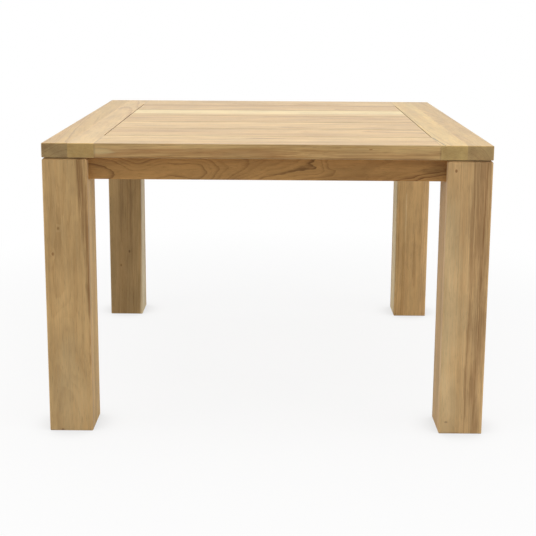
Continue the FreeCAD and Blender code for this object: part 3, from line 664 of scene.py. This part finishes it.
def turned_group():
    """A turned body along Z, from the radius and height of each station of its outline."""
    inputs = {"Around": INT}
    for number in range(1, STATIONS + 1):
        inputs |= {f"Radius {number}": FLOAT, f"Height {number}": FLOAT}
    bench, given, result = geometry_group("turned", inputs)
    blank = bench.add("GeometryNodeMeshCylinder", fill_type="NONE")
    bench.fill(blank, Vertices=given["Around"], Side_Segments=STATIONS - 1, Radius=1.0, Depth=STATIONS - 1.0)
    x, y, z = bench.split(bench.add("GeometryNodeInputPosition").outputs[0])
    ring = bench.math("ROUND", bench.math("ADD", z, (STATIONS - 1) / 2))

    def of_ring(measure):
        pick = bench.add("GeometryNodeIndexSwitch", data_type="FLOAT")
        while len(pick.index_switch_items) < STATIONS:
            pick.index_switch_items.new()
        bench.put(pick.inputs["Index"], ring)
        for number in range(STATIONS):
            bench.put(pick.inputs[number + 1], given[f"{measure} {number + 1}"])
        return pick.outputs[0]

    radius, height = of_ring("Radius"), of_ring("Height")
    shaped = bench.add("GeometryNodeSetPosition")
    place = bench.join(bench.math("MULTIPLY", x, radius), bench.math("MULTIPLY", y, radius), height)
    bench.fill(shaped, Geometry=blank.outputs["Mesh"], Position=place)
    whole = bench.add("GeometryNodeMergeByDistance")
    bench.fill(whole, Geometry=shaped.outputs[0], Distance=WELD)
    bench.put(result["Mesh"], whole.outputs[0])
    return bench.tree


PIN, TURNED = threaded_pin_group(), turned_group()


def turned(bench, around, outline):
    """A turned body from an outline of radii and heights. Its last station stands for those left over."""
    outline = list(outline) + [outline[-1]] * (STATIONS - len(outline))
    node = bench.add("GeometryNodeGroup", node_tree=TURNED)
    bench.fill(node, Around=around)
    for number, (radius, height) in enumerate(outline, start=1):
        bench.put(node.inputs[f"Radius {number}"], radius)
        bench.put(node.inputs[f"Height {number}"], height)
    return node.outputs[0]


def pin(bench, **values):
    """A pin from the sizes that the pin group takes."""
    node = bench.add("GeometryNodeGroup", node_tree=PIN)
    return bench.fill(node, **values).outputs[0]


def seated(bench, given, result, meshes):
    """Sets the joined meshes on every seat, along its aim, as one mesh of the given material."""
    joined = bench.add("GeometryNodeJoinGeometry")
    for mesh in meshes:
        bench.tree.links.new(mesh, joined.inputs[0])
    aim = bench.add("GeometryNodeInputNamedAttribute", data_type="FLOAT_VECTOR")
    bench.fill(aim, Name=SEAT_AIM)
    turn = bench.add("FunctionNodeAlignRotationToVector", axis="Z")
    bench.fill(turn, Vector=aim.outputs[0])
    spread = bench.add("GeometryNodeInstanceOnPoints")
    bench.fill(spread, Points=given["Seats"], Instance=joined.outputs[0], Rotation=turn.outputs[0])
    real = bench.add("GeometryNodeRealizeInstances")
    bench.fill(real, Geometry=spread.outputs[0])
    smooth = bench.add("GeometryNodeSetShadeSmooth", domain="FACE")
    bench.fill(smooth, Geometry=real.outputs[0], Shade_Smooth=True)
    crease = bench.math("GREATER_THAN", bench.add("GeometryNodeInputMeshEdgeAngle").outputs[0], CREASE)
    sharp = bench.add("GeometryNodeSetShadeSmooth", domain="EDGE")
    bench.fill(sharp, Geometry=smooth.outputs[0], Selection=crease, Shade_Smooth=False)
    dressed = bench.add("GeometryNodeSetMaterial")
    bench.fill(dressed, Geometry=sharp.outputs[0], Material=given["Material"])
    bench.put(result["Mesh"], dressed.outputs[0])
    return bench.tree


def headed_group(name, around):
    """Bolts or screws: a head with eased edges and a socket, a plain shank and a threaded end."""
    # The eased outline of a head, as shares of its radius and height.
    eased = ((0.86, 1.0), (1.0, 0.72), (1.0, 0.08), (0.94, 0.0))
    socket_share, sunk_share, tip_radii = 0.45, 0.2, 1.5
    sizes = ("Head Radius", "Head Height", "Socket Radius", "Shank Radius", "Shank Length", "Thread Length",
             "Pitch", "Thread Depth", "Tip Share")
    inputs = {"Seats": MESH, "Material": MATERIAL} | dict.fromkeys(sizes, FLOAT)
    bench, given, result = geometry_group(name, inputs)
    tall, socket, shank_radius = given["Head Height"], given["Socket Radius"], given["Shank Radius"]

    def down(share):
        return bench.math("MULTIPLY", tall, -share)

    floor, top, sunk = down(socket_share), down(1.0), down(sunk_share)
    rim = [(bench.math("MULTIPLY", given["Head Radius"], across), down(height)) for across, height in eased]
    head = turned(bench, around, [(0.0, floor), (socket, floor), (socket, top), *rim, (0.0, 0.0)])
    plain = bench.math("SUBTRACT", given["Shank Length"], given["Thread Length"])
    reach = bench.math("SUBTRACT", plain, sunk)
    shank = pin(bench, Radius=shank_radius, Start=sunk, Length=reach, Pitch=1.0, Starts=0, Depth=0.0,
                Taper_Length=0.5 * MM, Tip_Share=0.9, Around=PIN_SIDES, Along=SHANK_STEPS)
    thread = pin(bench, Radius=shank_radius, Start=plain, Length=given["Thread Length"],
                 Pitch=given["Pitch"], Starts=1, Depth=given["Thread Depth"],
                 Taper_Length=bench.math("MULTIPLY", shank_radius, tip_radii),
                 Tip_Share=given["Tip Share"], Around=PIN_SIDES, Along=THREAD_STEPS)
    return seated(bench, given, result, (head, shank, thread))


def sleeve_group():
    """Washers or sleeves: a ring with eased edges."""
    sizes = ("Outer Radius", "Inner Radius", "Length", "Edge")
    inputs = {"Seats": MESH, "Material": MATERIAL} | dict.fromkeys(sizes, FLOAT)
    bench, given, result = geometry_group("sleeve", inputs)
    outer, inner, length, edge = (given[size] for size in sizes)
    shy, far = bench.math("SUBTRACT", outer, edge), bench.math("SUBTRACT", length, edge)
    outline = [(inner, 0.0), (shy, 0.0), (outer, edge), (outer, far), (shy, length), (inner, length),
               (inner, 0.0)]
    return seated(bench, given, result, [turned(bench, RING_SIDES, outline)])


def dowel_group():
    """Dowels with spiral flutes and tapered ends."""
    inputs = {"Seats": MESH, "Material": MATERIAL, "Radius": FLOAT, "Length": FLOAT, "Flutes": INT,
              "Flute Depth": FLOAT}
    bench, given, result = geometry_group("dowel", inputs)
    body = pin(bench, Radius=given["Radius"], Start=0.0, Length=given["Length"], Pitch=180 * MM,
               Starts=given["Flutes"], Depth=given["Flute Depth"], Taper_Length=3 * MM, Tip_Share=0.75,
               Around=DOWEL_SIDES, Along=DOWEL_STEPS)
    return seated(bench, given, result, [body])


def islands(mesh):
    """The boxes of the separate solids in a mesh of loose triangles."""
    solids = bmesh.new()
    solids.from_mesh(mesh)
    bmesh.ops.remove_doubles(solids, verts=solids.verts, dist=WELD)
    left = set(solids.verts)
    boxes = []
    while left:
        found, ahead = [], [left.pop()]
        while ahead:
            corner = ahead.pop()
            found.append(corner.co.copy())
            for edge in corner.link_edges:
                other = edge.other_vert(corner)
                if other in left:
                    left.remove(other)
                    ahead.append(other)
        boxes.append(tuple(Vector(pick(values) for values in zip(*found)) for pick in (min, max)))
    solids.free()
    return sorted(boxes, key=lambda box: tuple(round(value, 4) for value in box[0]))


def seats(name, across, inset):
    """Where each fastener of a node sits and points: out from the table's middle, or up."""
    points, aims = [], []
    for low, high in islands(NODES[name].data):
        size = high - low
        axis = (min if across else max)(range(3), key=lambda number: size[number])
        middle = (low + high) / 2
        aim = Vector((0.0, 0.0, 0.0))
        aim[axis] = -1.0 if axis < 2 and middle[axis] < 0 else 1.0
        points.append(middle - aim * (size[axis] / 2 - inset))
        aims.append(aim)
    mesh = bpy.data.meshes.new(f"{name}_seats")
    mesh.from_pydata(points, [], [])
    held = mesh.attributes.new(SEAT_AIM, "FLOAT_VECTOR", "POINT")
    held.data.foreach_set("vector", [value for aim in aims for value in aim])
    return mesh


def fasten(name, slot, tree, material, across=False, inset=0.0, **sizes):
    """Replaces a node of the frame with fasteners that a tree sets on the node's own seats."""
    holder = bpy.data.objects.new(f"{name}_holder", seats(name, across, inset))
    scene.collection.objects.link(holder)
    modifier = holder.modifiers.new("fasteners", "NODES")
    modifier.node_group = tree
    values = {label.replace("_", " "): value for label, value in sizes.items()} | {"Material": material}
    for item in tree.interface.items_tree:
        if item.in_out == "INPUT" and item.name in values:
            modifier[item.identifier] = values[item.name]
    shape = bpy.data.meshes.new_from_object(holder.evaluated_get(bpy.context.evaluated_depsgraph_get()))
    shape.name = f"{name}_turned"
    shape.materials.clear()
    shape.materials.append(material)
    shape.polygons.foreach_set("material_index", [0] * len(shape.polygons))
    bpy.data.objects.remove(holder)
    piece = bpy.data.objects.new(f"{name}_turned", shape)
    scene.collection.objects.link(piece)
    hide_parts(name)
    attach(piece, "root")


STEEL = metal("brushed_stainless_steel", "c9c8c4", "a8a6a0", 0.24)
BRASS = metal("turned_brass", "c79f4e", "97742f", 0.26)
SCREW = headed_group("screw", SCREW_SIDES)
SLEEVE = sleeve_group()
DOWEL_WOOD = teak("board_dowels", len(BOARDS), {"grain": "x", "tone": "honey"})
fasten("leg_bolts", "stainless_steel", headed_group("hexagon_bolt", HEXAGON_SIDES), STEEL, inset=5.5 * MM,
       Head_Radius=7.5 * MM, Head_Height=5.5 * MM, Socket_Radius=2.6 * MM, Shank_Radius=4.0 * MM,
       Shank_Length=100.6 * MM, Thread_Length=30.0 * MM, Pitch=1.25 * MM, Thread_Depth=0.55 * MM,
       Tip_Share=0.8)
for name in ("apron_screws", "bearer_screws"):
    fasten(name, "stainless_steel", SCREW, STEEL, inset=3.0 * MM, Head_Radius=5.0 * MM, Head_Height=3.0 * MM,
           Socket_Radius=1.5 * MM, Shank_Radius=2.5 * MM, Shank_Length=48.0 * MM, Thread_Length=26.0 * MM,
           Pitch=2.2 * MM, Thread_Depth=0.6 * MM, Tip_Share=0.15)
fasten("bolt_washers", "stainless_steel", SLEEVE, STEEL, across=True, Outer_Radius=10.0 * MM,
       Inner_Radius=4.4 * MM, Length=1.6 * MM, Edge=0.25 * MM)
fasten("threaded_inserts", "brass", SLEEVE, BRASS, Outer_Radius=5.7 * MM, Inner_Radius=4.1 * MM,
       Length=14.0 * MM, Edge=0.6 * MM)
fasten("board_dowels", "teak", dowel_group(), DOWEL_WOOD, Radius=5.8 * MM, Length=64.0 * MM, Flutes=16,
       Flute_Depth=0.4 * MM)


# Studio: a pale floor that fades to white, soft light from above and both sides, and the camera

WHITE = (1.0, 1.0, 1.0, 1.0)
PAPER = (0.88, 0.88, 0.88, 1.0)
FLOOR_REACH = 9.0
LIGHT_AIM = Vector((0.0, 0.0, 0.4))


def seen_share(bench):
    """1 for a ray that shows the studio, straight, mirrored or through glass, and 0 for one that lights."""
    path = bench.add("ShaderNodeLightPath").outputs
    seen = bench.math("MAXIMUM", path["Is Camera Ray"], path["Is Glossy Ray"])
    return bench.math("MAXIMUM", seen, path["Is Transmission Ray"])


def studio_floor():
    """A pale floor that turns white away from the table, with painted contact shadow that dims its glow close
    to the feet.
    """
    near_white, far_white, under_feet = "fdfdfd", (1.0, 1.9), 80 * MM
    closed_in, contact_shadow_glow = 0.3, 0.8
    near_glow, glow_reach = 0.9, (0.9, 1.9)
    mesh = bpy.data.meshes.new("floor")
    corners = [(x * FLOOR_REACH, y * FLOOR_REACH, 0) for x, y in ((-1, -1), (1, -1), (1, 1), (-1, 1))]
    mesh.from_pydata(corners, [], [(0, 1, 2, 3)])
    floor = bpy.data.objects.new("floor", mesh)
    scene.collection.objects.link(floor)
    material, bench = blank_material("studio_floor")
    away = bench.vector("LENGTH", bench.add("ShaderNodeTexCoord").outputs["Object"])
    paper = bench.add("ShaderNodeBsdfDiffuse")
    bench.fill(paper, Color=PAPER)
    # Painted contact shadow: occlusion near the feet dims the floor's glow.
    painted_contact_shadow = bench.add("ShaderNodeAmbientOcclusion", samples=16)
    bench.fill(painted_contact_shadow, Distance=under_feet)
    glow = bench.add("ShaderNodeEmission")
    bench.fill(glow, Color=bench.mix(bench.span(away, *far_white), tint(near_white), WHITE),
               Strength=bench.span(painted_contact_shadow.outputs["AO"], closed_in, 1.0, contact_shadow_glow, 1.0))
    share = bench.math("MULTIPLY", seen_share(bench), bench.span(away, *glow_reach, near_glow, 1.0))
    blend = bench.add("ShaderNodeMixShader")
    for socket, value in zip(blend.inputs, (share, paper.outputs[0], glow.outputs[0])):
        bench.put(socket, value)
    bench.show(blend)
    mesh.materials.append(material)


def studio_air(strength):
    """White air to look at, which lights the table with the given strength."""
    world = bpy.data.worlds.new("studio")
    scene.world = world
    world.use_nodes = True
    world.node_tree.nodes.clear()
    bench = Bench(world.node_tree)
    air = bench.add("ShaderNodeBackground")
    bench.fill(air, Color=WHITE, Strength=bench.span(seen_share(bench), 0.0, 1.0, strength, 1.0))
    bench.show(air, "World")


def softbox(name, place, size, power):
    """A soft rectangular light that looks at the table."""
    lamp = bpy.data.lights.new(name, "AREA")
    lamp.shape = "RECTANGLE"
    lamp.size, lamp.size_y = size
    lamp.energy = power
    box = bpy.data.objects.new(name, lamp)
    box.location = place
    box.rotation_euler = (LIGHT_AIM - Vector(place)).to_track_quat("-Z", "Y").to_euler()
    box.visible_camera = False
    scene.collection.objects.link(box)


studio_floor()
studio_air(strength=0.33)
softbox("overhead", (0.0, -0.3, 3.2), size=(3.2, 3.2), power=70.0)
softbox("left_side", (-3.2, -1.0, 1.6), size=(2.2, 2.0), power=36.0)
softbox("right_side", (3.2, -1.0, 1.6), size=(2.2, 2.0), power=40.0)

lens = bpy.data.cameras.new("camera")
lens.sensor_width = 36.0
lens.lens = 68.4
lens.shift_y = -0.16
camera = bpy.data.objects.new("camera", lens)
camera.location = (0.0145, -2.9956, 1.08)
camera.rotation_euler = (1.3956, -0.0062, 0.0062)
scene.collection.objects.link(camera)
scene.camera = camera
scene.view_settings.view_transform = "Standard"
